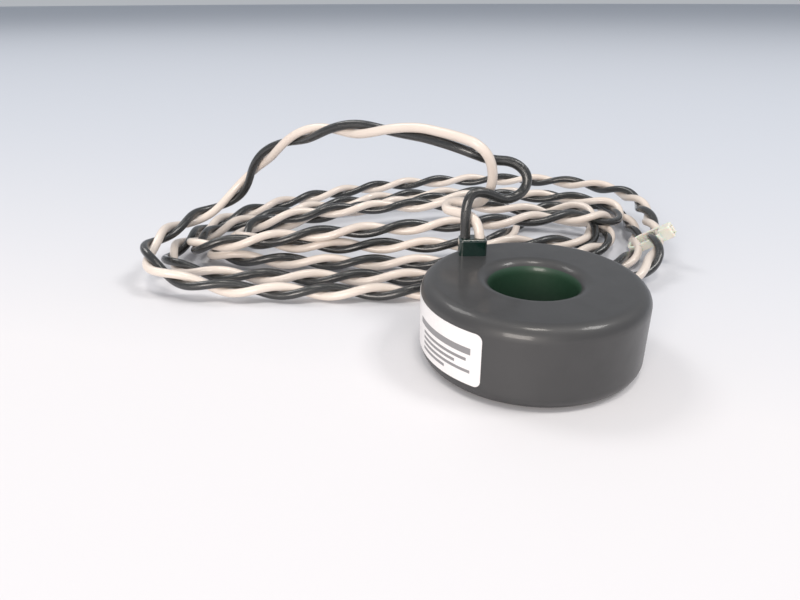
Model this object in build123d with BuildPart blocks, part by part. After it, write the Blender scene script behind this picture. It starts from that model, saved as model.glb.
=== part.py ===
from build123d import *
import os
from math import cos, pi, radians, sin, tan

# Solid-core current transformer on a twisted pair of leads.
# Millimetres, +Z up. The origin is the bore axis at the face that the body stands on.
os.makedirs("parts", exist_ok=True)

# Driving dimensions of the moulded body
BODY_DIAMETER = 50.0
BODY_HEIGHT = 18.6
WINDOW_DIAMETER = 19.5
EDGE_ROUND = 3.2
MOUTH_ROUND = 3.0
SIDE_WALL = 2.0
TUBE_WALL = 1.6
TOP_PLATE = 2.2
BASE_PLATE = 1.8
INNER_CORNER = 1.0

# The lip by which the base cover laps inside the shell's wall
LIP_THICKNESS = 1.0
LIP_HEIGHT = 2.2

# The wound core, from the strip outwards
STRIP_WIDTH = 7.0
STRIP_INNER_R = 13.9
STRIP_OUTER_R = 19.9
STRIP_BOTTOM = 4.7
CASE_WALL = 0.6
CASE_GAP = 0.1
WINDING_DEPTH = 0.9
WINDING_ROUND = 1.2
WRAP_THICKNESS = 0.25

# The small board inside, on top of the wound core
BOARD_THICKNESS = 0.8
BOARD_INNER_R = 13.4
BOARD_OUTER_R = 22.2
BOARD_FROM = 98.0
BOARD_TO = 186.0
PARTS_R = 17.8

# The leads: two insulated wires, twisted round each other beyond their first loops
WIRE_DIAMETER = 2.4
HOLE_CLEARANCE = 0.05
CONDUCTOR_DIAMETER = 0.8
PAIR_DIAMETER = 2 * WIRE_DIAMETER
LEAD_SPACING = 3.5
LEAD_START = 15.2

# The block that the leads come out of, near the edge of the top face
BLOCK_X = -15.3
BLOCK_Y = 12.2
BLOCK_TURN = 12.6
BLOCK_WIDTH = 6.6
BLOCK_DEPTH = 4.6
BLOCK_TOP = 22.6
BLOCK_CORNER = 0.9

# The label, wrapped round the side of the body
LABEL_THICKNESS = 0.12
LABEL_FROM = 176.0
LABEL_TO = 249.5
LABEL_MARGIN = 0.15
LABEL_CORNER = 1.5

# The tie round two turns of the hank: turned in plan, rising with them, its head end raised
TIE_CENTRE = (32.7, 66.4, 6.2)
TIE_AZIMUTH = -14.0
TIE_RISE = 14.0
TIE_TILT = 38.0
TIE_WIDTH = 2.6
TIE_THICKNESS = 0.9
TIE_INSIDE = (9.8, 5.2)
TIE_CORNER = 2.4
TIE_HEAD = (3.8, 4.0, 3.4)

# The hank of coiled pair
HANK_HEIGHT = 12.8
HANK_CHAMFER = 2.0
EYE_CORNER = 3.0

body_r = BODY_DIAMETER / 2
window_r = WINDOW_DIAMETER / 2
tube_r = window_r + TUBE_WALL
cavity_r = body_r - SIDE_WALL
cavity_top = BODY_HEIGHT - TOP_PLATE
seam_z = EDGE_ROUND


def save(builder, name):
    """Labels a finished piece and writes it under its node's name."""
    builder.part.label = name
    export_step(builder.part, f"parts/{name}.step")


def ring_section(inner_r, outer_r, bottom_z, top_z, corner=0.0, mode=Mode.ADD):
    """Adds the section of a ring to the open sketch: radii along X, heights along Y."""
    width = outer_r - inner_r
    height = top_z - bottom_z
    with Locations(((inner_r + outer_r) / 2, (bottom_z + top_z) / 2)):
        if corner:
            RectangleRounded(width, height, corner, mode=mode)
        else:
            Rectangle(width, height, mode=mode)


def around(radius, azimuth):
    """The point at an azimuth, in degrees, on a circle round the bore axis."""
    return (radius * cos(radians(azimuth)), radius * sin(radians(azimuth)))


def bend_radii(points):
    """One radius for each inner point of a route: as large as its two runs allow."""
    radii = []
    for before, here, after in zip(points, points[1:], points[2:]):
        run_in = Vector(*here) - Vector(*before)
        run_out = Vector(*after) - Vector(*here)
        half_turn = radians(run_in.get_angle(run_out)) / 2
        radii.append(0.45 * min(run_in.length, run_out.length) / tan(half_turn))
    return radii


def report_tube(name, tube, length, diameter, radii):
    """Prints a tube's bends, and its volume beside its section times its length."""
    section = pi * diameter**2 / 4
    print(name, "radii", [round(r, 1) for r in radii])
    print(name, "length", round(length, 1), "volume", round(tube.part.volume, 1),
          "section x length", round(section * length, 1))


# Where the two leads pass through the block: black on the left, white on the right
step_x, step_y = around(LEAD_SPACING / 2, BLOCK_TURN)
black_exit = (BLOCK_X - step_x, BLOCK_Y - step_y)
white_exit = (BLOCK_X + step_x, BLOCK_Y + step_y)

# Housing: one moulded shell, open downwards, with the bore tube hanging from its top plate.
# The section runs up the outside, over the rounded edge, across and down the rounded mouth.
with BuildPart() as housing:
    with BuildSketch(Plane.XZ) as shell_section:
        with BuildLine():
            side = Line((body_r, seam_z), (body_r, BODY_HEIGHT - EDGE_ROUND))
            edge = TangentArc(side @ 1, (body_r - EDGE_ROUND, BODY_HEIGHT), tangent=side % 1)
            top = Line(edge @ 1, (window_r + MOUTH_ROUND, BODY_HEIGHT))
            mouth = TangentArc(top @ 1, (window_r, BODY_HEIGHT - MOUTH_ROUND), tangent=top % 1)
            Polyline(
                mouth @ 1,
                (window_r, MOUTH_ROUND),
                (tube_r, MOUTH_ROUND),
                (tube_r, cavity_top),
                (cavity_r, cavity_top),
                (cavity_r, seam_z),
                side @ 0,
            )
        make_face()
        cavity_corners = shell_section.vertices().filter_by_position(
            Axis.Y, cavity_top - 0.01, cavity_top + 0.01
        )
        fillet(cavity_corners, radius=INNER_CORNER)
    revolve(axis=Axis.Z)
    # Holes for the two leads, under the block
    with BuildSketch(Plane.XY.offset(cavity_top)):
        with Locations(black_exit, white_exit):
            Circle(WIRE_DIAMETER / 2 + HOLE_CLEARANCE)
    extrude(amount=TOP_PLATE, mode=Mode.SUBTRACT)
save(housing, "housing")

# Base cover: a shallow dish glued into the shell by a lip that laps inside its wall.
# Its outer edge is rounded like the top's, and the bore tube stands on its inner upstand.
with BuildPart() as base_cover:
    with BuildSketch(Plane.XZ):
        with BuildLine():
            bore_edge = TangentArc(
                (window_r, MOUTH_ROUND), (window_r + MOUTH_ROUND, 0), tangent=(0, -1)
            )
            foot = Line(bore_edge @ 1, (body_r - EDGE_ROUND, 0))
            outer_edge = TangentArc(foot @ 1, (body_r, seam_z), tangent=foot % 1)
            Polyline(
                outer_edge @ 1,
                (cavity_r, seam_z),
                (cavity_r, seam_z + LIP_HEIGHT),
                (cavity_r - LIP_THICKNESS, seam_z + LIP_HEIGHT),
                (cavity_r - LIP_THICKNESS, BASE_PLATE),
                (tube_r, BASE_PLATE),
                (tube_r, MOUTH_ROUND),
                (window_r, MOUTH_ROUND),
            )
        make_face()
    revolve(axis=Axis.Z)
    lip_top = base_cover.edges().filter_by(GeomType.CIRCLE).group_by(Axis.Z)[-1]
    chamfer(lip_top.sort_by(SortBy.RADIUS)[0], length=LIP_THICKNESS / 2)
save(base_cover, "base_cover")

# Strip core: a nickel-iron strip wound into a ring
strip_top = STRIP_BOTTOM + STRIP_WIDTH
with BuildPart() as strip_core:
    with BuildSketch(Plane.XZ):
        ring_section(STRIP_INNER_R, STRIP_OUTER_R, STRIP_BOTTOM, strip_top, corner=0.2)
    revolve(axis=Axis.Z)
save(strip_core, "strip_core")

# Core case and its lid: a nylon channel and a flat ring that keep the winding off the strip
case_in = STRIP_INNER_R - CASE_GAP - CASE_WALL
case_out = STRIP_OUTER_R + CASE_GAP + CASE_WALL
case_bottom = STRIP_BOTTOM - CASE_WALL
case_rim = strip_top + CASE_GAP
case_top = case_rim + CASE_WALL
with BuildPart() as core_case:
    with BuildSketch(Plane.XZ):
        ring_section(case_in, case_out, case_bottom, case_rim)
        ring_section(
            case_in + CASE_WALL, case_out - CASE_WALL, STRIP_BOTTOM, case_rim, mode=Mode.SUBTRACT
        )
    revolve(axis=Axis.Z)
save(core_case, "core_case")

with BuildPart() as core_case_lid:
    with BuildSketch(Plane.XZ):
        ring_section(case_in, case_out, case_rim, case_top)
    revolve(axis=Axis.Z)
save(core_case_lid, "core_case_lid")

# Secondary winding: enamelled wire wound round the case all the way, as one closed ring
wound_in = case_in - WINDING_DEPTH
wound_out = case_out + WINDING_DEPTH
wound_bottom = case_bottom - WINDING_DEPTH
wound_top = case_top + WINDING_DEPTH
with BuildPart() as secondary_winding:
    with BuildSketch(Plane.XZ):
        ring_section(wound_in, wound_out, wound_bottom, wound_top, corner=WINDING_ROUND)
        ring_section(case_in, case_out, case_bottom, case_top, mode=Mode.SUBTRACT)
    revolve(axis=Axis.Z)
save(secondary_winding, "secondary_winding")

# Winding wrap: polyester tape over the winding
wrap_in = wound_in - WRAP_THICKNESS
wrap_out = wound_out + WRAP_THICKNESS
wrap_bottom = wound_bottom - WRAP_THICKNESS
wrap_top = wound_top + WRAP_THICKNESS
wrap_round = WINDING_ROUND + WRAP_THICKNESS
with BuildPart() as winding_wrap:
    with BuildSketch(Plane.XZ):
        ring_section(wrap_in, wrap_out, wrap_bottom, wrap_top, corner=wrap_round)
        ring_section(
            wound_in, wound_out, wound_bottom, wound_top, corner=WINDING_ROUND, mode=Mode.SUBTRACT
        )
    revolve(axis=Axis.Z)
save(winding_wrap, "winding_wrap")

# Terminal board: a curved slip of laminate that lies on the wrapped core
board_top = wrap_top + BOARD_THICKNESS
board_plane = Plane.XZ.rotated((0, 0, BOARD_FROM))
with BuildPart() as terminal_board:
    with BuildSketch(board_plane):
        ring_section(BOARD_INNER_R, BOARD_OUTER_R, wrap_top, board_top)
    revolve(axis=Axis.Z, revolution_arc=BOARD_TO - BOARD_FROM)
    fillet(terminal_board.edges().filter_by(Axis.Z), radius=0.8)
save(terminal_board, "terminal_board")


def seat_on_board(azimuth):
    """A plane on the board's top face, its Y pointing away from the bore."""
    x, y = around(PARTS_R, azimuth)
    return Plane(origin=(x, y, board_top), x_dir=(sin(radians(azimuth)), -cos(radians(azimuth)), 0))


# Burden resistor: a flat ceramic chip with metal ends
RESISTOR_SIZE = (6.3, 3.2, 0.6)
RESISTOR_AT = 172.0
with BuildPart() as burden_resistor:
    with BuildSketch(seat_on_board(RESISTOR_AT)):
        Rectangle(RESISTOR_SIZE[0], RESISTOR_SIZE[1])
    extrude(amount=RESISTOR_SIZE[2])
    chamfer(burden_resistor.edges().group_by(Axis.Z)[-1], length=0.12)
save(burden_resistor, "burden_resistor")

# Clamp diode: a small moulded case on two flat terminals
DIODE_SIZE = (2.7, 1.6, 1.1)
DIODE_TERMINAL = (0.55, 0.6, 0.2)
DIODE_AT = 122.0
with BuildPart() as clamp_diode:
    with BuildSketch(seat_on_board(DIODE_AT)):
        Rectangle(DIODE_SIZE[0], DIODE_SIZE[1])
    extrude(amount=DIODE_SIZE[2], taper=6)
    with BuildSketch(seat_on_board(DIODE_AT)):
        with GridLocations(DIODE_SIZE[0] + DIODE_TERMINAL[0], 0, 2, 1):
            Rectangle(DIODE_TERMINAL[0] + 0.2, DIODE_TERMINAL[1])
    extrude(amount=DIODE_TERMINAL[2])
save(clamp_diode, "clamp_diode")

# Solder joints: a cone of solder round each lead's bared end and each winding tail
JOINT_FOOT_R = 1.1
TAIL_JOINT_R = 0.55
TAIL_JOINT_HEIGHT = 0.5
tail_spots = (around(14.8, 112.0), around(20.8, 112.0))
with BuildPart() as solder_joints:
    with Locations(*[(x, y, (board_top + LEAD_START) / 2) for x, y in (black_exit, white_exit)]):
        Cone(JOINT_FOOT_R, CONDUCTOR_DIAMETER / 2, LEAD_START - board_top)
    with Locations(*[(x, y, board_top + TAIL_JOINT_HEIGHT / 2) for x, y in tail_spots]):
        Cone(TAIL_JOINT_R, TAIL_JOINT_R / 2, TAIL_JOINT_HEIGHT)
save(solder_joints, "solder_joints")

# Winding tails: the start and finish of the winding, each up past the board's end to its joint
TAIL_DIAMETER = 0.35
TAIL_FOOT_AT = 92.0
with BuildPart() as winding_tails:
    for radius, spot in zip((14.8, 20.4), tail_spots):
        foot_x, foot_y = around(radius, TAIL_FOOT_AT)
        over_z = board_top + TAIL_JOINT_HEIGHT + 0.5
        with BuildLine() as tail_path:
            FilletPolyline(
                (foot_x, foot_y, wrap_top),
                (foot_x, foot_y, over_z),
                (spot[0], spot[1], over_z),
                (spot[0], spot[1], board_top + TAIL_JOINT_HEIGHT),
                radius=0.4,
            )
        with BuildSketch(Plane(origin=tail_path.line @ 0, z_dir=tail_path.line % 0)):
            Circle(TAIL_DIAMETER / 2)
        sweep(path=tail_path.line)
save(winding_tails, "winding_tails")

# Potting compound: epoxy that fills every space left in the shell
with BuildPart() as potting_compound:
    with BuildSketch(Plane.XZ):
        ring_section(tube_r, cavity_r, BASE_PLATE, cavity_top)
        ring_section(wrap_in, wrap_out, wrap_bottom, wrap_top, corner=wrap_round, mode=Mode.SUBTRACT)
    revolve(axis=Axis.Z)
    for embedded in (
        housing,
        base_cover,
        terminal_board,
        burden_resistor,
        clamp_diode,
        solder_joints,
        winding_tails,
    ):
        add(embedded.part, mode=Mode.SUBTRACT)
    with BuildSketch(Plane.XY.offset(LEAD_START)):
        with Locations(black_exit, white_exit):
            Circle(WIRE_DIAMETER / 2)
    extrude(amount=cavity_top - LEAD_START, mode=Mode.SUBTRACT)
save(potting_compound, "potting_compound")

# Lead block: cast where the leads come out, and shaped underneath to the top of the body
with BuildPart() as lead_block:
    with BuildSketch(Plane.XY.offset(BODY_HEIGHT - 1.2)):
        with Locations(Location((BLOCK_X, BLOCK_Y), BLOCK_TURN)):
            RectangleRounded(BLOCK_WIDTH, BLOCK_DEPTH, BLOCK_CORNER)
    extrude(amount=BLOCK_TOP - BODY_HEIGHT + 1.2)
    fillet(lead_block.faces().sort_by(Axis.Z)[-1].edges(), radius=0.6)
    with BuildSketch(Plane.XY.offset(cavity_top)):
        with Locations(black_exit, white_exit):
            Circle(WIRE_DIAMETER / 2 + HOLE_CLEARANCE)
    extrude(amount=BLOCK_TOP - cavity_top, mode=Mode.SUBTRACT)
    add(housing.part, mode=Mode.SUBTRACT)
save(lead_block, "lead_block")

# Label: a thin vinyl sticker on the straight part of the side, its corners rounded
with BuildPart() as label:
    with BuildSketch(Plane.XZ.rotated((0, 0, LABEL_FROM))):
        ring_section(
            body_r,
            body_r + LABEL_THICKNESS,
            seam_z + LABEL_MARGIN,
            BODY_HEIGHT - EDGE_ROUND - LABEL_MARGIN / 2,
        )
    revolve(axis=Axis.Z, revolution_arc=LABEL_TO - LABEL_FROM)
    corners = label.edges().filter_by(lambda e: abs(e.length - LABEL_THICKNESS) < 0.001)
    fillet(corners, radius=LABEL_CORNER)
save(label, "label")

# The leads' routes, from the block to where they start to twist
black_route = [
    (black_exit[0], black_exit[1], LEAD_START),
    (black_exit[0], black_exit[1], 22.6),
    (-17.3, 12.0, 29.6),
    (-16.2, 13.6, 33.2),
    (-12.8, 16.0, 32.6),
    (-8.6, 18.6, 30.0),
    (-4.4, 21.2, 31.6),
    (-3.5, 22.5, 35.6),
    (-7.3, 22.8, 38.8),
    (-12.8, 21.6, 39.0),
    (-17.0, 19.0, 41.0),
    (-20.2, 19.2, 42.1),
    (-22.5, 20.5, 42.35),
]
white_route = [
    (white_exit[0], white_exit[1], LEAD_START),
    (white_exit[0], white_exit[1], 19.4),
    (-13.63, 12.62, 23.6),
    (-15.2, 13.9, 26.9),
    (-19.2, 15.8, 27.4),
    (-23.0, 17.8, 27.2),
    (-22.8, 21.4, 28.2),
    (-19.0, 22.2, 28.2),
    (-15.0, 21.6, 28.0),
    (-12.5, 20.8, 31.4),
    (-11.7, 19.0, 36.6),
    (-13.2, 17.4, 41.6),
    (-16.8, 17.2, 44.2),
    (-20.2, 19.2, 44.75),
    (-22.5, 20.5, 44.85),
]
# The twisted pair's route, in an arch from the leads over to the hank
pair_route = [
    (-22.5, 20.5, 43.6),
    (-28.5, 24.0, 44.3),
    (-35.5, 28.0, 43.9),
    (-43.6, 32.0, 43.0),
    (-52.2, 36.0, 42.4),
    (-61.5, 40.0, 41.0),
    (-70.2, 43.5, 38.0),
    (-79.1, 47.0, 33.6),
    (-86.0, 50.0, 28.6),
    (-91.5, 52.5, 22.0),
    (-97.0, 52.0, 16.0),
    (-102.5, 48.0, 12.6),
]


def lead_tube(points, diameter, name):
    """A tube along a route of straight runs joined by tangent arcs."""
    radii = bend_radii(points)
    with BuildPart() as tube:
        with BuildLine() as path:
            FilletPolyline(*points, radius=radii)
        route = path.wire()
        with BuildSketch(Plane(origin=route @ 0, z_dir=route % 0)):
            Circle(diameter / 2)
        sweep(path=route)
    report_tube(name, tube, route.length, diameter, radii)
    return tube


black_lead = lead_tube(black_route, WIRE_DIAMETER, "black_lead")
save(black_lead, "black_lead")
white_lead = lead_tube(white_route, WIRE_DIAMETER, "white_lead")
save(white_lead, "white_lead")
twisted_pair = lead_tube(pair_route, PAIR_DIAMETER, "twisted_pair")
save(twisted_pair, "twisted_pair")

# Lead hank: the outer shape of the coiled pair, a flat egg with an eye in the middle
hank_outline = [
    (-111.5, 45.0),
    (-111.5, 22.0),
    (-108.5, 11.5),
    (-100.0, 7.5),
    (-85.0, 7.0),
    (-65.0, 10.5),
    (-40.0, 16.5),
    (-18.0, 22.5),
    (2.0, 28.5),
    (21.0, 36.0),
    (32.5, 44.5),
    (37.5, 56.0),
    (38.5, 73.0),
    (37.0, 92.0),
    (32.0, 111.5),
    (22.0, 124.5),
    (7.0, 132.2),
    (-11.0, 134.3),
    (-31.0, 132.3),
    (-51.0, 126.2),
    (-69.0, 115.0),
    (-84.5, 102.5),
    (-98.5, 87.0),
    (-107.0, 70.0),
]
eye_outline = [(-70.0, 47.0), (-18.0, 58.0), (-18.0, 78.0), (-46.0, 64.0)]
with BuildPart() as lead_hank:
    with BuildSketch():
        with BuildLine():
            Spline(*hank_outline, periodic=True)
        make_face()
        with BuildLine(mode=Mode.PRIVATE) as eye:
            FilletPolyline(*eye_outline, close=True, radius=EYE_CORNER)
        make_face(eye.edges(), mode=Mode.SUBTRACT)
    extrude(amount=HANK_HEIGHT)
    chamfer(lead_hank.faces().sort_by(Axis.Z)[-1].outer_wire().edges(), length=HANK_CHAMFER)
save(lead_hank, "lead_hank")

# Stripped ends: the tinned conductors at the free end of the pair, lying in the hank's eye
TIP_LENGTH = 7.0
TIP_DROOP = -0.12
TIP_CHAMFER = 0.15
tip_starts = {"black_tip": ((-17.5, 66.6, 1.6), 196.0), "white_tip": ((-17.5, 69.2, 1.6), 170.0)}
for tip_name, (tip_start, tip_azimuth) in tip_starts.items():
    tip_x, tip_y = around(1.0, tip_azimuth)
    with BuildPart() as tip:
        with BuildSketch(Plane(origin=tip_start, z_dir=(tip_x, tip_y, TIP_DROOP))):
            Circle(CONDUCTOR_DIAMETER / 2)
        extrude(amount=TIP_LENGTH)
        chamfer(tip.faces().sort_by(Axis.X)[0].edges(), length=TIP_CHAMFER)
    save(tip, tip_name)

# Cable tie: a nylon strap round two turns of the hank, its head at the raised end
tie_across = (
    Vector(1, 0, 0).rotate(Axis.Y, -TIE_TILT).rotate(Axis.X, TIE_RISE).rotate(Axis.Z, TIE_AZIMUTH)
)
tie_along = Vector(0, 1, 0).rotate(Axis.X, TIE_RISE).rotate(Axis.Z, TIE_AZIMUTH)
tie_plane = Plane(origin=TIE_CENTRE, x_dir=tie_across, z_dir=tie_along)
strap_length = TIE_INSIDE[0] + 2 * TIE_THICKNESS
strap_height = TIE_INSIDE[1] + 2 * TIE_THICKNESS
with BuildPart() as cable_tie:
    with BuildSketch(tie_plane):
        RectangleRounded(strap_length, strap_height, TIE_CORNER + TIE_THICKNESS)
        RectangleRounded(TIE_INSIDE[0], TIE_INSIDE[1], TIE_CORNER, mode=Mode.SUBTRACT)
    extrude(amount=TIE_WIDTH / 2, both=True)
    with BuildSketch(tie_plane):
        with Locations((TIE_INSIDE[0] / 2 + TIE_HEAD[0] / 2, 0)):
            Rectangle(TIE_HEAD[0], TIE_HEAD[2])
    extrude(amount=TIE_HEAD[1] / 2, both=True)
save(cable_tie, "cable_tie")
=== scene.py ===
from math import atan2, copysign, cos, pi, radians, sin

import bmesh
import bpy
import numpy as np
from mathutils import Matrix, Vector


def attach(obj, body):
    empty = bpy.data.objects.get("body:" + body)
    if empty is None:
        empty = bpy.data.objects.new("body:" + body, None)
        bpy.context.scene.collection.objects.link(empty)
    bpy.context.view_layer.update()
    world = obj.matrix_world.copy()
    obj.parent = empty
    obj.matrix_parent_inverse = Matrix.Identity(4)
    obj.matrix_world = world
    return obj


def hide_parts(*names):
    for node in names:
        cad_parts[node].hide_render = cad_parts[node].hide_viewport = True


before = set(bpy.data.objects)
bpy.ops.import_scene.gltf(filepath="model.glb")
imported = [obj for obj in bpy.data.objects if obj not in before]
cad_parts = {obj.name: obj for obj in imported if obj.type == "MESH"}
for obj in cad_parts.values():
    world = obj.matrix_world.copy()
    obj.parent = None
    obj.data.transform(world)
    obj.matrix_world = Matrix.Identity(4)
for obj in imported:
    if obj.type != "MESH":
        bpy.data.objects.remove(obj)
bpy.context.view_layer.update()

# Camera
# A tabletop shot from a little above, with the body's bore axis right of the middle.
# The lens is short and close, so the near body looks large beside the far turns.
camera_right = Vector((0.97580501, 0.21862669, -0.00263728))
camera_up = Vector((-0.09071554, 0.41581011, 0.90491582))
camera_forward = Vector((-0.19893536, 0.88278215, -0.42558243))
camera_data = bpy.data.cameras.new("camera")
camera_data.sensor_width = 36.0
camera_data.lens = 29.25
camera_data.clip_start = 0.005
camera = bpy.data.objects.new("camera", camera_data)
bpy.context.scene.collection.objects.link(camera)
camera.matrix_world = Matrix.Translation((0.0, -0.13480, 0.07509)) @ Matrix(
    (camera_right, camera_up, -camera_forward)
).transposed().to_4x4()
bpy.context.scene.camera = camera
bpy.context.scene.view_settings.view_transform = "Standard"


# Leads and twisted pair
# Two stranded wires in PVC, one black and one cream white. Each loops once above the block,
# and then the two are twisted round each other for the rest of their 1.8 m.
def spline_points(name, controls, scale=0.001):
    """The line of a NURBS spline through the air, with these control points, as points."""
    data = bpy.data.curves.new(name, "CURVE")
    data.dimensions = "3D"
    data.resolution_u = 12
    spline = data.splines.new("NURBS")
    spline.points.add(len(controls) - 1)
    for point, place in zip(spline.points, controls):
        point.co = (*[value * scale for value in place], 1.0)
    spline.order_u = 3
    spline.use_endpoint_u = True
    holder = bpy.data.objects.new(name, data)
    bpy.context.scene.collection.objects.link(holder)
    bpy.context.view_layer.update()
    seen = holder.evaluated_get(bpy.context.evaluated_depsgraph_get())
    mesh = bpy.data.meshes.new_from_object(seen)
    points = np.array([vertex.co for vertex in mesh.vertices])
    bpy.data.objects.remove(holder)
    bpy.data.meshes.remove(mesh)
    bpy.data.curves.remove(data)
    return points


def evenly(points, step):
    """The same line, with points a step apart."""
    gaps = np.linalg.norm(np.diff(points, axis=0), axis=1)
    along = np.concatenate([[0.0], np.cumsum(gaps)])
    places = np.linspace(0.0, along[-1], int(round(along[-1] / step)) + 1)
    return np.stack([np.interp(places, along, points[:, axis]) for axis in range(3)], axis=1)


# Control points in millimetres, as in the part's own routes. The arch has one more at its end,
# inside the hank.
black_loop = [
    (-17.0, 11.8, 15.2),
    (-17.0, 11.8, 22.6),
    (-17.3, 12.0, 29.6),
    (-16.2, 13.6, 33.2),
    (-12.8, 16.0, 32.6),
    (-8.6, 18.6, 30.0),
    (-4.4, 21.2, 31.6),
    (-3.5, 22.5, 35.6),
    (-7.3, 22.8, 38.8),
    (-12.8, 21.6, 39.0),
    (-17.0, 19.0, 41.0),
    (-20.2, 19.2, 42.1),
    (-22.5, 20.5, 42.35),
]
white_loop = [
    (-13.6, 12.6, 15.2),
    (-13.6, 12.6, 19.4),
    (-13.63, 12.62, 23.6),
    (-15.2, 13.9, 26.9),
    (-19.2, 15.8, 27.4),
    (-23.0, 17.8, 27.2),
    (-22.8, 21.4, 28.2),
    (-19.0, 22.2, 28.2),
    (-15.0, 21.6, 28.0),
    (-12.5, 20.8, 31.4),
    (-11.7, 19.0, 36.6),
    (-13.2, 17.4, 41.6),
    (-16.8, 17.2, 44.2),
    (-20.2, 19.2, 44.75),
    (-22.5, 20.5, 44.85),
]
arch = [
    (-22.5, 20.5, 43.6),
    (-28.5, 24.0, 44.3),
    (-35.5, 28.0, 43.9),
    (-43.6, 32.0, 43.0),
    (-52.2, 36.0, 42.4),
    (-61.5, 40.0, 41.0),
    (-70.2, 43.5, 38.0),
    (-79.1, 47.0, 33.6),
    (-86.0, 50.0, 28.6),
    (-91.5, 52.5, 22.0),
    (-97.0, 52.0, 16.0),
    (-102.5, 48.0, 12.6),
    (-107.0, 42.0, 11.5),
]
free_end = [
    (16.5, 84.0, 6.0),
    (11.5, 93.0, 5.5),
    (3.0, 96.0, 5.5),
    (-5.0, 91.0, 4.6),
    (-8.0, 82.0, 3.8),
    (-9.5, 74.5, 3.0),
    (-13.0, 69.4, 3.0),
    (-17.6, 67.9, 1.7),
]
# Each turn of the coil: left and right ends along X, the front line's Y at both ends, the
# back line's Y at both ends, and the heights at the left, front, right and back
turns = [
    (-110.5, 36.0, 2.0, 38.0, 116.0, 147.0, 11.0, 2.4, 9.2, 6.0),
    (-110.0, 31.9, 12.0, 47.5, 92.0, 132.0, 4.5, 3.0, 5.4, 6.5),
    (-105.0, 27.0, 21.0, 76.0, 70.0, 118.0, 5.0, 10.5, 5.0, 8.5),
    (-100.0, 23.0, 27.0, 55.0, 58.0, 100.0, 4.0, 3.0, 4.0, 9.5),
    (-92.0, 17.5, 31.5, 60.0, 63.0, 88.0, 6.0, 6.5, 3.2, 6.0),
    (-86.0, 16.0, 36.0, 60.0, 60.0, 86.0, 6.0, 6.0, 2.6, 3.0),
]
points_per_turn = 16
coil_from, coil_to = 0.04, 4.52
# Where in a turn its next row starts to take over, as a part of the turn
shift_from = 0.62


def ease(t):
    return t * t * (3 - 2 * t)


def coil_point(turn):
    """A point of the coil, which runs left, front, right, back, a little smaller each turn."""
    number = int(turn)
    part = turn - number
    shift = ease(max(0.0, (part - shift_from) / (1 - shift_from)))
    this, following = turns[number], turns[number + 1]
    row = [a + (b - a) * shift for a, b in zip(this, following)]
    left, right, front_left, front_right, back_left, back_right = row[:6]
    angle = pi + 2 * pi * part
    side, reach = sin(angle), cos(angle)
    # The front is squarer than an oval, and less so for each turn inwards
    if side < 0:
        side = -(abs(side) ** (0.27 + 0.09 * number))
        reach = copysign(abs(reach) ** (0.45 + 0.09 * number), reach)
    across = (1 + reach) / 2
    x = left + (right - left) * across
    front = front_left + (front_right - front_left) * across
    back = back_left + (back_right - back_left) * across
    y = (front + back) / 2 + (back - front) / 2 * side
    heights = (*this[6:], following[6])
    quarter = int(part * 4)
    rise = ease(part * 4 - quarter)
    if quarter == 1:
        rise = ease(min(1.0, (1 + side) / 0.55))
    z = heights[quarter] + (heights[quarter + 1] - heights[quarter]) * rise
    return (x, y, z)


# In millimetres: the gap that passes of the pair keep, the least height of its middle line,
# and the length along it within which two points are neighbours and not two passes
pass_gap = 4.75
least_height = 2.45
neighbour_length = 28
settling_rounds = 220


def laid(controls, held):
    """Parts the passes that cross or touch in height, as they lie on each other, above the
    table. The first points, as many as held, stay where they are."""
    places = np.array(controls, dtype=float)
    count = len(places)
    weights = []
    for index in range(count - 2):
        for t in np.linspace(0.0, 1.0, 6, endpoint=False):
            row = np.zeros(count)
            row[index : index + 3] = (0.5 * (1 - t) ** 2, 0.5 + t * (1 - t), 0.5 * t * t)
            weights.append(row)
    weights = np.array(weights)
    line = weights @ places
    gaps = np.linalg.norm(np.diff(line, axis=0), axis=1)
    along = np.concatenate([[0.0], np.cumsum(gaps)])
    flat = np.linalg.norm(line[:, None, :2] - line[None, :, :2], axis=2)
    distant = np.abs(along[:, None] - along[None, :]) > neighbour_length
    first, second = np.where(np.triu(distant & (flat < pass_gap)))
    wanted = np.sqrt(pass_gap**2 - flat[first, second] ** 2)
    # The later pass lies on the earlier one, unless that is drawn clearly higher
    drop = line[first, 2] - line[second, 2]
    first_on_top = np.where(drop > 2, 1.0, -1.0)
    share = weights.sum(axis=0)
    designed = places[:, 2].copy()
    for _ in range(settling_rounds):
        heights = weights @ places[:, 2]
        lack = np.maximum(wanted - (heights[first] - heights[second]) * first_on_top, 0.0)
        push = np.zeros(len(heights))
        hits = np.full(len(heights), 1e-9)
        np.add.at(push, first, first_on_top * lack / 2)
        np.add.at(push, second, -first_on_top * lack / 2)
        np.add.at(hits, first, lack > 0)
        np.add.at(hits, second, lack > 0)
        move = weights.T @ (push / np.maximum(hits, 1)) / share
        move[:held] = 0
        raised = places[:, 2] - designed
        bend = np.zeros(count)
        bend[1:-1] = raised[:-2] + raised[2:] - 2 * raised[1:-1]
        bend[:held] = 0
        places[:, 2] += 1.6 * move + 0.1 * bend - 0.01 * raised
        places[held:-3, 2] = np.maximum(places[held:-3, 2], least_height)
    top = float(places[held:, 2].max())
    print("coil laid: still short by", round(float(lack.max()), 2), "top", round(top, 1))
    return [tuple(place) for place in places]


steps = int(round((coil_to - coil_from) * points_per_turn))
coil = [coil_point(coil_from + (coil_to - coil_from) * step / steps) for step in range(steps + 1)]
pair_controls = laid(arch + coil + free_end, held=len(arch))

wire_diameter = 0.0024
pair_step = 0.0008
pair_line = evenly(spline_points("pair_route", pair_controls), pair_step)


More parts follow.
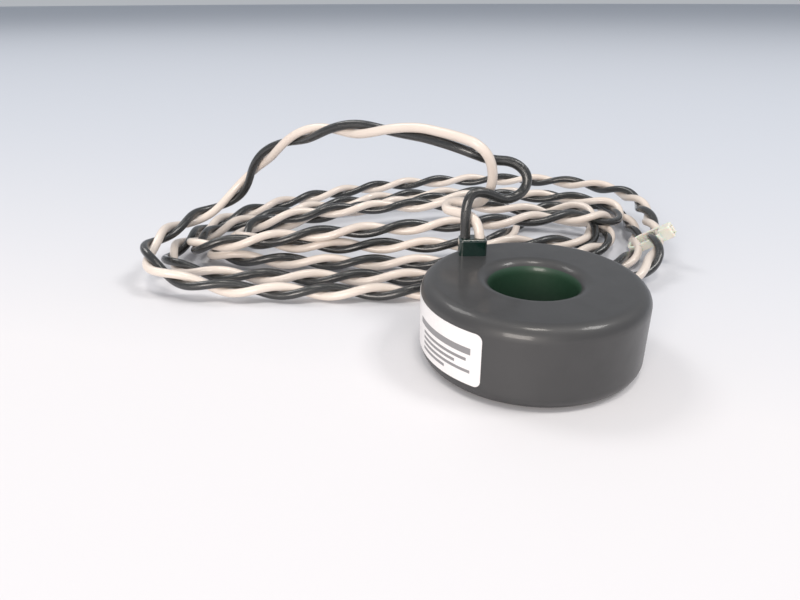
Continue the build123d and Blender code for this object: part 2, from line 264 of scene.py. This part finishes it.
def carried_frames(line):
    """A pair of normals at each point of a line, carried along it without turning."""
    heading = np.gradient(line, axis=0)
    heading /= np.linalg.norm(heading, axis=1)[:, None]
    upward = np.zeros_like(line)
    normal = np.array([0.0, 0.0, 1.0])
    for index, direction in enumerate(heading):
        normal = normal - direction * normal.dot(direction)
        normal = normal / np.linalg.norm(normal)
        upward[index] = normal
    return upward, np.cross(heading, upward)


# The twist starts slowly, is loose in the arch, and tighter in the coil
arch_pitch = 0.035
coil_pitch = 0.0265
arch_length = 0.085
twist_change = 0.030
free_twist = 0.2
upward, sideways = carried_frames(pair_line)
run = np.arange(len(pair_line)) * pair_step
in_coil = np.clip((run - arch_length) / twist_change, 0.0, 1.0)
in_arch = np.minimum(run / twist_change, 1.0) / arch_pitch
twist = np.cumsum(in_arch * (1 - in_coil) + in_coil / coil_pitch) * pair_step
# Past free_twist it is eased so that the two ends lie side by side, white at the back
end_angle = -2 * pi * twist[-1]
end_aim = atan2(
    float(np.dot((0.0, 1.0, 0.0), sideways[-1])), float(np.dot((0.0, 1.0, 0.0), upward[-1]))
)
correction = (end_aim - end_angle + pi) % (2 * pi) - pi
eased = np.clip((run - free_twist) / (run[-1] - free_twist), 0.0, 1.0)
angle = -2 * pi * twist + correction * eased
half_gap = wire_diameter / 2 * 1.02
offset = half_gap * (np.cos(angle)[:, None] * upward + np.sin(angle)[:, None] * sideways)


class Socket:
    """One output in a material's nodes. Python's operators on it add Math nodes."""

    def __init__(self, finish, output):
        self.finish = finish
        self.output = output

    def maths(self, operation, first, second=0.0):
        return self.finish.node("ShaderNodeMath", {"operation": operation}, {0: first, 1: second})

    def __add__(self, other):
        return self.maths("ADD", self, other)

    def __radd__(self, other):
        return self.maths("ADD", other, self)

    def __sub__(self, other):
        return self.maths("SUBTRACT", self, other)

    def __rsub__(self, other):
        return self.maths("SUBTRACT", other, self)

    def __mul__(self, other):
        return self.maths("MULTIPLY", self, other)

    def __rmul__(self, other):
        return self.maths("MULTIPLY", other, self)

    def __truediv__(self, other):
        return self.maths("DIVIDE", self, other)

    def __rtruediv__(self, other):
        return self.maths("DIVIDE", other, self)

    def __pow__(self, other):
        return self.maths("POWER", self, other)

    def __rpow__(self, other):
        return self.maths("POWER", other, self)

    def __gt__(self, other):
        return self.maths("GREATER_THAN", self, other)

    def __lt__(self, other):
        return self.maths("LESS_THAN", self, other)

    def sine(self):
        return self.maths("SINE", self)

    def angle_from(self, other):
        return self.maths("ARCTAN2", self, other)

    def root(self):
        return self.maths("SQRT", self)

    def fraction(self):
        return self.maths("FRACT", self)


class Finish:
    """A material on the Principled shader, with its pattern nodes."""

    def __init__(self, name, colour, roughness, **plain):
        self.material = bpy.data.materials.new(name)
        self.material.use_nodes = True
        self.tree = self.material.node_tree
        self.shader = self.tree.nodes["Principled BSDF"]
        self.place = self.node("ShaderNodeTexCoord", output="Object")
        self.set("Base Color", colour)
        self.set("Roughness", roughness)
        for key, value in plain.items():
            self.set(key.replace("_", " ").title().replace("Ior", "IOR"), value)

    def node(self, kind, settings=None, inputs=None, output=0):
        """Adds any other node: its type, its settings, and its sockets' values or links."""
        made = self.tree.nodes.new(kind)
        for key, value in (settings or {}).items():
            setattr(made, key, value)
        for key, value in (inputs or {}).items():
            self.feed(made.inputs[key], value)
        return Socket(self, made.outputs[output])

    def feed(self, socket, value):
        if isinstance(value, Socket):
            self.tree.links.new(value.output, socket)
        else:
            socket.default_value = value

    def set(self, socket_name, value):
        self.feed(self.shader.inputs[socket_name], value)

    def axes(self):
        split = self.node("ShaderNodeSeparateXYZ", inputs={0: self.place}).output.node
        return [Socket(self, output) for output in split.outputs]

    def polar(self):
        """Radius from the bore axis, angle round it, and height."""
        x, y, z = self.axes()
        return (x * x + y * y).root(), y.angle_from(x), z

    def grain(self, scale, detail=3.0, vector=None):
        inputs = {"Vector": vector or self.place, "Scale": scale, "Detail": detail}
        return self.node("ShaderNodeTexNoise", inputs=inputs)

    def mixed(self, amount, first, second):
        return self.node(
            "ShaderNodeMix", {"data_type": "RGBA"}, {0: amount, 6: first, 7: second}, output=2
        )

    def relief(self, height, distance, strength=1.0):
        inputs = {"Height": height, "Distance": distance, "Strength": strength}
        self.set("Normal", self.node("ShaderNodeBump", inputs=inputs))


def colour(red, green, blue):
    """A colour as the eye sees it, from 0 to 255, as the shader wants it."""
    linear = []
    for value in (red / 255, green / 255, blue / 255):
        linear.append(value / 12.92 if value < 0.04045 else ((value + 0.055) / 1.055) ** 2.4)
    return (*linear, 1.0)


def insulation(name, plain, stained, roughness):
    """Extruded PVC: nearly even colour, with soft blotches and faint drawing marks along it."""
    finish = Finish(name, plain, roughness, coat_weight=0.5, coat_roughness=0.08)
    blotches = finish.grain(90.0, 2.0)
    finish.set("Base Color", finish.mixed(blotches ** 2.0, plain, stained))
    along = finish.node("ShaderNodeAttribute", {"attribute_name": "along"}, output="Fac")
    around = finish.node("ShaderNodeAttribute", {"attribute_name": "around"}, output="Fac")
    marks = finish.node("ShaderNodeCombineXYZ", inputs={0: along * 40.0, 1: around * 6.0})
    drawn = finish.grain(14.0, 4.0, marks)
    finish.set("Roughness", roughness + drawn * 0.16)
    finish.relief(drawn, 0.00006, 0.6)
    return finish


white_pvc = insulation("white_insulation", colour(220, 209, 199), colour(210, 196, 186), 0.30)
tinned = Finish("tinned_copper", colour(205, 203, 196), 0.28, metallic=1.0)
tinned.set("Roughness", 0.2 + tinned.grain(900.0) * 0.25)
tinned.relief(tinned.grain(2600.0), 0.00002)
black_pvc = insulation("black_insulation", colour(40, 41, 41), colour(30, 31, 32), 0.12)


def sheath_tree():
    """Geometry nodes that draw a round sheath along a line of edges."""
    tree = bpy.data.node_groups.new("wire_sheath", "GeometryNodeTree")
    face = tree.interface
    face.new_socket("Line", in_out="INPUT", socket_type="NodeSocketGeometry")
    face.new_socket("Radius", in_out="INPUT", socket_type="NodeSocketFloat")
    face.new_socket("Sides", in_out="INPUT", socket_type="NodeSocketInt")
    face.new_socket("Insulation", in_out="INPUT", socket_type="NodeSocketMaterial")
    face.new_socket("Sheath", in_out="OUTPUT", socket_type="NodeSocketGeometry")
    nodes, links = tree.nodes, tree.links
    given = nodes.new("NodeGroupInput")
    result = nodes.new("NodeGroupOutput")
    to_curve = nodes.new("GeometryNodeMeshToCurve")
    links.new(given.outputs["Line"], to_curve.inputs["Mesh"])
    length = nodes.new("GeometryNodeSplineParameter")
    along = nodes.new("GeometryNodeStoreNamedAttribute")
    along.data_type = "FLOAT"
    along.inputs["Name"].default_value = "along"
    links.new(to_curve.outputs["Curve"], along.inputs["Geometry"])
    links.new(length.outputs["Length"], along.inputs["Value"])
    ring = nodes.new("GeometryNodeCurvePrimitiveCircle")
    links.new(given.outputs["Radius"], ring.inputs["Radius"])
    links.new(given.outputs["Sides"], ring.inputs["Resolution"])
    turn = nodes.new("GeometryNodeInputIndex")
    wave = nodes.new("ShaderNodeMath")
    wave.operation = "PINGPONG"
    links.new(turn.outputs[0], wave.inputs[0])
    half = nodes.new("ShaderNodeMath")
    half.operation = "MULTIPLY"
    half.inputs[1].default_value = 0.5
    links.new(given.outputs["Sides"], half.inputs[0])
    links.new(half.outputs[0], wave.inputs[1])
    around = nodes.new("GeometryNodeStoreNamedAttribute")
    around.data_type = "FLOAT"
    around.inputs["Name"].default_value = "around"
    links.new(ring.outputs["Curve"], around.inputs["Geometry"])
    links.new(wave.outputs[0], around.inputs["Value"])
    to_mesh = nodes.new("GeometryNodeCurveToMesh")
    to_mesh.inputs["Fill Caps"].default_value = True
    links.new(along.outputs["Geometry"], to_mesh.inputs["Curve"])
    links.new(around.outputs["Geometry"], to_mesh.inputs["Profile Curve"])
    real = nodes.new("GeometryNodeRealizeInstances")
    links.new(to_mesh.outputs["Mesh"], real.inputs["Geometry"])
    paint = nodes.new("GeometryNodeSetMaterial")
    links.new(real.outputs["Geometry"], paint.inputs["Geometry"])
    links.new(given.outputs["Insulation"], paint.inputs["Material"])
    links.new(paint.outputs["Geometry"], result.inputs["Sheath"])
    return tree


def grown(name, mesh, tree, sizes):
    """The plain mesh that a geometry nodes tree makes of a mesh, as a new piece."""
    seed = bpy.data.objects.new(name + "_seed", mesh)
    bpy.context.scene.collection.objects.link(seed)
    modifier = seed.modifiers.new("grow", "NODES")
    modifier.node_group = tree
    for item in tree.interface.items_tree:
        if item.in_out == "INPUT" and item.name in sizes:
            modifier[item.identifier] = sizes[item.name]
    bpy.context.view_layer.update()
    seen = seed.evaluated_get(bpy.context.evaluated_depsgraph_get())
    data = bpy.data.meshes.new_from_object(seen)
    data.name = name
    bpy.data.objects.remove(seed)
    piece = bpy.data.objects.new(name, data)
    bpy.context.scene.collection.objects.link(piece)
    for polygon in data.polygons:
        polygon.use_smooth = len(polygon.vertices) <= 4
    return piece


def line_mesh(name, points):
    mesh = bpy.data.meshes.new(name)
    mesh.from_pydata([tuple(p) for p in points], [(i, i + 1) for i in range(len(points) - 1)], [])
    return mesh


sheath = sheath_tree()


# Stripped ends
# At the free end the insulation is cut off over 7 mm. The seven tinned copper strands under it
# are twisted tight, six round one, and end a little raggedly.
strand_diameter = 0.00027
bared_length = 0.0075
strands_tucked_in = 0.0005


def bared_strands(name, start, azimuth):
    """A stripped end: six tinned strands laid round a seventh, twisted tight."""
    heading = Vector((cos(radians(azimuth)), sin(radians(azimuth)), -0.12)).normalized()
    side = heading.cross((0, 0, 1)).normalized()
    upper = side.cross(heading)
    points = []
    edges = []
    strand_steps = 24
    for strand in range(7):
        reach = 0.0 if strand == 6 else strand_diameter
        ragged = 0.0004 * sin(5.0 * strand)
        for step in range(strand_steps + 1):
            part = step / strand_steps
            turned = strand * pi / 3 + 2 * pi * part * 0.8
            ahead = heading * ((bared_length + ragged) * part - strands_tucked_in)
            points.append(start + ahead + (side * cos(turned) + upper * sin(turned)) * reach)
            if step:
                edges.append((len(points) - 2, len(points) - 1))
    mesh = bpy.data.meshes.new(name + "_line")
    mesh.from_pydata(points, edges, [])
    sizes = {"Radius": strand_diameter / 2, "Sides": 8, "Insulation": tinned.material}
    return grown(name, mesh, sheath, sizes)


# Each wire from its loop to its stripped end, with the join of loop and strand relaxed
block_top = 0.0226
relaxed_points = 8
for colour_name, loop, aside, finish, azimuth in (
    ("white", white_loop, offset, white_pvc, 170.0),
    ("black", black_loop, -offset, black_pvc, 196.0),
):
    loop_line = evenly(spline_points(colour_name + "_route", loop), pair_step)
    path = np.concatenate([loop_line, (pair_line + aside)[1:]])
    low = len(loop_line) - relaxed_points
    high = len(loop_line) + relaxed_points
    for _ in range(10):
        path[low:high] = (path[low - 1 : high - 1] + path[low + 1 : high + 1]) / 2
    name = colour_name + "_wire"
    wire = grown(
        name,
        line_mesh(name + "_line", path),
        sheath,
        {"Radius": wire_diameter / 2, "Sides": 18, "Insulation": finish.material},
    )
    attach(wire, "root")
    colour_name + "_insulation"
    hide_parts(colour_name + "_lead", "twisted_pair", "lead_hank")
    tip = bared_strands(colour_name + "_strands", Vector(path[-1]), azimuth)
    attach(tip, "root")
    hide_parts(colour_name + "_tip")
    measured = float(np.linalg.norm(np.diff(path, axis=0), axis=1).sum())
    print(name, "length", round(measured, 3))
    Vector((loop[0][0] / 1000, loop[0][1] / 1000, block_top))


def paint_node(name, finish):
    """Gives a CAD node its finish."""
    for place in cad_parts[name].material_slots:
        place.material = finish.material


# Body
# An injection-moulded shell and its base cover, glued at the foot, in black plastic with a fine
# matt texture. The bore is smoother. Its wall is painted darker and greener than the outside:
# painted shade, for the shade that falls inside it.
moulded = Finish("moulded_body", colour(52, 52, 53), 0.45, coat_weight=0.35, coat_roughness=0.14)
radius, _, height = moulded.polar()
# Painted shade: the bore wall is coloured a dark green for the shade that falls in the bore
bore_painted_shade = (radius < 0.0112) * (height < 0.0172)
mottle = moulded.grain(220.0, 4.0)
body_colour = moulded.mixed(mottle ** 2.0, colour(54, 54, 55), colour(47, 47, 48))
moulded.set("Base Color", moulded.mixed(bore_painted_shade, body_colour, colour(35, 65, 47)))
spark = moulded.grain(5200.0, 2.0)
moulded.set("Roughness", 0.40 + mottle * 0.12 + spark * 0.08)
moulded.relief(spark + mottle * 0.5, 0.00004, 0.5)
for node_name in ("housing", "base_cover"):
    paint_node(node_name, moulded)

# Lead block
# A small block of glossy dark epoxy, cast over the two holes where the wires come out, which
# it holds and seals.
cast_block = Finish("cast_block", colour(8, 20, 17), 0.10, coat_weight=0.6, coat_roughness=0.05)
flow = cast_block.grain(260.0, 2.0)
cast_block.set("Roughness", 0.08 + flow * 0.12)
cast_block.set("Base Color", cast_block.mixed(flow, colour(12, 30, 26), colour(20, 42, 37)))
cast_block.relief(flow, 0.00025, 0.5)
paint_node("lead_block", cast_block)

# Label
# Satin white vinyl with rounded corners, stuck round the side by its own glue. It is blank but
# for a few plain grey bars, whose heights and places along it are in millimetres.
vinyl = Finish("label_vinyl", colour(228, 226, 226), 0.38)
label_x, label_y, label_z = vinyl.axes()
label_radius = 25.12
label_across = (0.0 - label_y).angle_from(0.0 - label_x) * label_radius
tooth = vinyl.grain(1500.0, 3.0)
bars = None
for low, thick, start, end in (
    (10.2, 1.5, 10.0, 28.0),
    (8.6, 0.7, 12.0, 27.0),
    (7.3, 0.7, 12.0, 24.0),
    (6.0, 0.7, 12.0, 28.0),
    (4.7, 0.7, 12.0, 21.0),
):
    bar = (
        (label_z > low / 1000)
        * (label_z < (low + thick) / 1000)
        * (label_across > start)
        * (label_across < end)
    )
    bars = bar if bars is None else bars + bar
paper = vinyl.mixed(tooth, colour(230, 228, 228), colour(221, 219, 220))
vinyl.set("Base Color", vinyl.mixed(bars * 0.8, paper, colour(88, 88, 92)))
vinyl.set("Roughness", 0.34 + tooth * 0.1)
vinyl.relief(tooth, 0.00001, 0.4)
paint_node("label", vinyl)

# Cable tie
# A miniature tie in natural nylon, pulled round the two outer turns and cut off at its head.
# The strap is toothed on its inner face, and the tail's cut end shows in the head's slot.
nylon = Finish("tie_nylon", colour(226, 226, 214), 0.3, subsurface_weight=0.3, coat_weight=0.3)
nylon.set("Subsurface Scale", 0.002)
cloud = nylon.grain(420.0, 2.0)
nylon.set("Base Color", nylon.mixed(cloud, colour(230, 230, 220), colour(212, 212, 198)))
nylon.set("Roughness", 0.26 + cloud * 0.12)
nylon.relief(cloud, 0.00005, 0.5)

tie_centre = Vector((0.0327, 0.0664, 0.0062))
tie_turn = (
    Matrix.Rotation(radians(-14.0), 3, "Z")
    @ Matrix.Rotation(radians(14.0), 3, "X")
    @ Matrix.Rotation(radians(-38.0), 3, "Y")
)
strap_width = 0.0026
strap_thickness = 0.0009
strap_inside = (0.0098, 0.0052)
strap_corner = 0.0024
strap_bevel = 0.0001
tooth_depth = 0.00025
head_size = (0.0038, 0.0034, 0.0040)


def rounded_box(shape, size, centre, corner):
    """Adds a box with rounded edges to a shape."""
    corners = bmesh.ops.create_cube(shape, size=1.0)["verts"]
    bmesh.ops.scale(shape, vec=size, verts=corners)
    bmesh.ops.translate(shape, vec=centre, verts=corners)
    edges = list({edge for vertex in corners for edge in vertex.link_edges})
    bmesh.ops.bevel(shape, geom=edges, offset=corner, segments=3, profile=0.5, affect="EDGES")


def strap_ring(shape):
    """Adds the strap's closed loop to a shape: a section with teeth, carried round it."""
    middle = strap_corner + strap_thickness / 2
    reach_x = strap_inside[0] / 2 + strap_thickness / 2 - middle
    reach_y = strap_inside[1] / 2 + strap_thickness / 2 - middle
    loop = []
    for degrees in range(0, 361, 6):
        turned = radians(degrees)
        out_x, out_y = cos(turned), sin(turned)
        loop.append((
            copysign(reach_x, out_x) + middle * out_x,
            copysign(reach_y, out_y) + middle * out_y,
            0.0,
        ))
    line = evenly(np.array(loop), 0.00022)[:-1]
    ahead = np.roll(line, -1, axis=0) - np.roll(line, 1, axis=0)
    half = strap_width / 2
    face = strap_thickness / 2
    rings = []
    for step, (point, direction) in enumerate(zip(line, ahead)):
        outward = Vector((direction[1], -direction[0], 0.0)).normalized()
        cut = tooth_depth if step % 4 < 2 else 0.0
        section = (
            (-half, face - strap_bevel),
            (-half + strap_bevel, face),
            (half - strap_bevel, face),
            (half, face - strap_bevel),
            (half, strap_bevel - face),
            (half - strap_bevel, -face),
            (half * 0.62, -face),
            (half * 0.58, cut - face),
            (-half * 0.58, cut - face),
            (-half * 0.62, -face),
            (-half + strap_bevel, -face),
            (-half, strap_bevel - face),
        )
        rings.append([
            shape.verts.new(Vector(point) + outward * out + Vector((0.0, 0.0, wide)))
            for wide, out in section
        ])
    for ring, following in zip(rings, rings[1:] + rings[:1]):
        for first in range(len(ring)):
            second = (first + 1) % len(ring)
            shape.faces.new((ring[first], ring[second], following[second], following[first]))


tie_shape = bmesh.new()
head_middle = Vector((strap_inside[0] / 2 + head_size[0] / 2, 0.0, 0.0))
rounded_box(tie_shape, head_size, head_middle, 0.0004)
end_face = max(tie_shape.faces, key=lambda face: face.calc_center_median().x)
bmesh.ops.inset_individual(tie_shape, faces=[end_face], thickness=0.00045)
bmesh.ops.inset_individual(tie_shape, faces=[end_face], thickness=0.00008, depth=-0.0007)
tail_size = (0.0016, strap_thickness, strap_width * 0.75)
tail_middle = head_middle + Vector((head_size[0] / 2 - 0.0004, 0.0, 0.0))
rounded_box(tie_shape, tail_size, tail_middle, 0.0001)
strap_ring(tie_shape)
bmesh.ops.recalc_face_normals(tie_shape, faces=tie_shape.faces)
bmesh.ops.transform(
    tie_shape, matrix=Matrix.Translation(tie_centre) @ tie_turn.to_4x4(), verts=tie_shape.verts
)
tie_mesh = bpy.data.meshes.new("tie")
tie_shape.to_mesh(tie_mesh)
tie_shape.free()
tie_mesh.materials.append(nylon.material)
tie = bpy.data.objects.new("tie", tie_mesh)
bpy.context.scene.collection.objects.link(tie)
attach(tie, "root")
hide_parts("cable_tie")

# Core
# A nickel-iron strip wound into a ring, which carries the field round the bore. It lies loose
# in a moulded nylon channel under a flat lid, which keep the winding from squeezing it.
strip = Finish("core_strip", colour(176, 178, 182), 0.3, metallic=1.0)
strip_radius = strip.polar()[0]
strip.relief((strip_radius * 30000.0).sine(), 0.00003)
strip.set("Roughness", 0.25 + strip.grain(500.0) * 0.2)
paint_node("strip_core", strip)
nylon_case = Finish("case_nylon", colour(232, 228, 214), 0.5)
nylon_case.relief(nylon_case.grain(1800.0), 0.00002)
nylon_case.set("Roughness", 0.42 + nylon_case.grain(300.0) * 0.16)
for node_name in ("core_case", "core_case_lid"):
    paint_node(node_name, nylon_case)

# Winding and its wrap
# Fine enamelled copper wire wound round the case all the way, under overlapping turns of
# polyester tape. Its two tails run up past the board's end to their solder joints.
enamel = Finish("enamelled_copper", colour(172, 84, 38), 0.25, metallic=0.7, coat_weight=0.5)
wound_angle = enamel.polar()[1]
wire_lines = (wound_angle * 420.0).sine() * 0.5 + 0.5
enamel.set("Base Color", enamel.mixed(wire_lines, colour(128, 52, 22), colour(190, 98, 46)))
enamel.relief(wire_lines, 0.0001)
for node_name in ("secondary_winding", "winding_tails"):
    paint_node(node_name, enamel)
tape = Finish("wrap_tape", colour(214, 186, 70), 0.22, coat_weight=0.4)
_, tape_angle, tape_height = tape.polar()
overlap = (tape_angle * 6.0 + tape_height * 90.0).fraction()
tape.set("Base Color", tape.mixed(overlap, colour(205, 176, 62), colour(224, 198, 88)))
tape.relief(overlap, 0.00006)
paint_node("winding_wrap", tape)

# Board and what is soldered to it
# A curved slip of glass laminate that lies on the wrapped core. A ceramic burden resistor and
# a moulded clamp diode are soldered flat on it, beside the joints of the leads and the tails.
laminate = Finish("board_laminate", colour(28, 96, 52), 0.3, coat_weight=0.4)
weave_x, weave_y = laminate.axes()[:2]
weave = (weave_x * 9000.0).sine() * (weave_y * 9000.0).sine() * 0.5 + 0.5
laminate.set("Base Color", laminate.mixed(weave, colour(26, 88, 48), colour(34, 104, 58)))
laminate.relief(weave, 0.00002)
paint_node("terminal_board", laminate)
ceramic = Finish("chip_ceramic", colour(40, 41, 44), 0.35)
ceramic.set("Roughness", 0.25 + ceramic.grain(1600.0) * 0.3)
ceramic.relief(ceramic.grain(2400.0), 0.00002)
paint_node("burden_resistor", ceramic)
diode_black = Finish("diode_case", colour(30, 30, 31), 0.5)
diode_black.set("Roughness", 0.42 + diode_black.grain(2200.0) * 0.2)
diode_black.relief(diode_black.grain(3000.0), 0.00002)
paint_node("clamp_diode", diode_black)
solder = Finish("solder", colour(206, 207, 210), 0.22, metallic=1.0)
solder.set("Roughness", 0.15 + solder.grain(1200.0) * 0.25)
solder.relief(solder.grain(900.0), 0.00005)
paint_node("solder_joints", solder)

# Potting
# Dark epoxy poured in round everything inside the shell, and cured. Its free face shows small
# flow marks.
epoxy = Finish("potting_epoxy", colour(24, 27, 25), 0.2, coat_weight=0.3)
epoxy.set("Roughness", 0.15 + epoxy.grain(300.0) * 0.2)
epoxy.relief(epoxy.grain(160.0, 2.0), 0.0002, 0.5)
paint_node("potting_compound", epoxy)

# Floor and light
# A pale sweep of paper under soft boxes, painted near white in front and a cool grey at the back:
# painted shade, for the light falling off towards the back.
floor_mesh = bpy.data.meshes.new("floor")
floor_shape = bmesh.new()
bmesh.ops.create_circle(floor_shape, cap_ends=True, radius=6.0, segments=96)
floor_shape.to_mesh(floor_mesh)
floor_shape.free()
floor = bpy.data.objects.new("floor", floor_mesh)
bpy.context.scene.collection.objects.link(floor)
paper_sweep = Finish("floor_paper", colour(250, 250, 252), 0.75, specular_ior_level=0.3)
floor_y = paper_sweep.axes()[1]
# Painted shade: the floor's colour grows darker and cooler towards the back, where less light
# falls
painted_falloff_shade = 2.718 ** ((floor_y + 0.02) * -9.5)
paper_sweep.set(
    "Base Color", paper_sweep.mixed(1.0 - painted_falloff_shade, colour(221, 220, 223), colour(196, 201, 210))
)
paper_sweep.set("Roughness", 0.7 + paper_sweep.grain(30.0) * 0.1)
floor_mesh.materials.append(paper_sweep.material)

world = bpy.data.worlds.new("studio")
world.use_nodes = True
bpy.context.scene.world = world
backing = world.node_tree.nodes["Background"]
backing.inputs["Color"].default_value = (0.90, 0.94, 1.0, 1.0)
backing.inputs["Strength"].default_value = 0.5


def soft_box(name, place, aim, size, watts, tint):
    """A square area lamp that faces a point."""
    lamp = bpy.data.lights.new(name, "AREA")
    lamp.shape = "SQUARE"
    lamp.size = size
    lamp.energy = watts
    lamp.color = tint
    holder = bpy.data.objects.new(name, lamp)
    bpy.context.scene.collection.objects.link(holder)
    holder.location = place
    holder.rotation_mode = "QUATERNION"
    holder.rotation_quaternion = (Vector(aim) - Vector(place)).to_track_quat("-Z", "Y")


soft_box("overhead_box", (0.12, -0.3, 1.9), (-0.03, 0.05, 0.0), 0.4, 10.0, (1.0, 0.94, 0.86))
soft_box("right_box", (1.1, 0.15, 1.6), (-0.03, 0.05, 0.0), 0.5, 12.0, (1.0, 0.97, 0.94))
soft_box("left_box", (-1.1, 0.5, 1.5), (-0.03, 0.05, 0.0), 0.6, 8.0, (1.0, 0.97, 0.94))
soft_box("front_box", (-0.3, -1.7, 0.5), (0.0, 0.05, 0.0), 0.8, 26.0, (1.0, 0.92, 0.85))
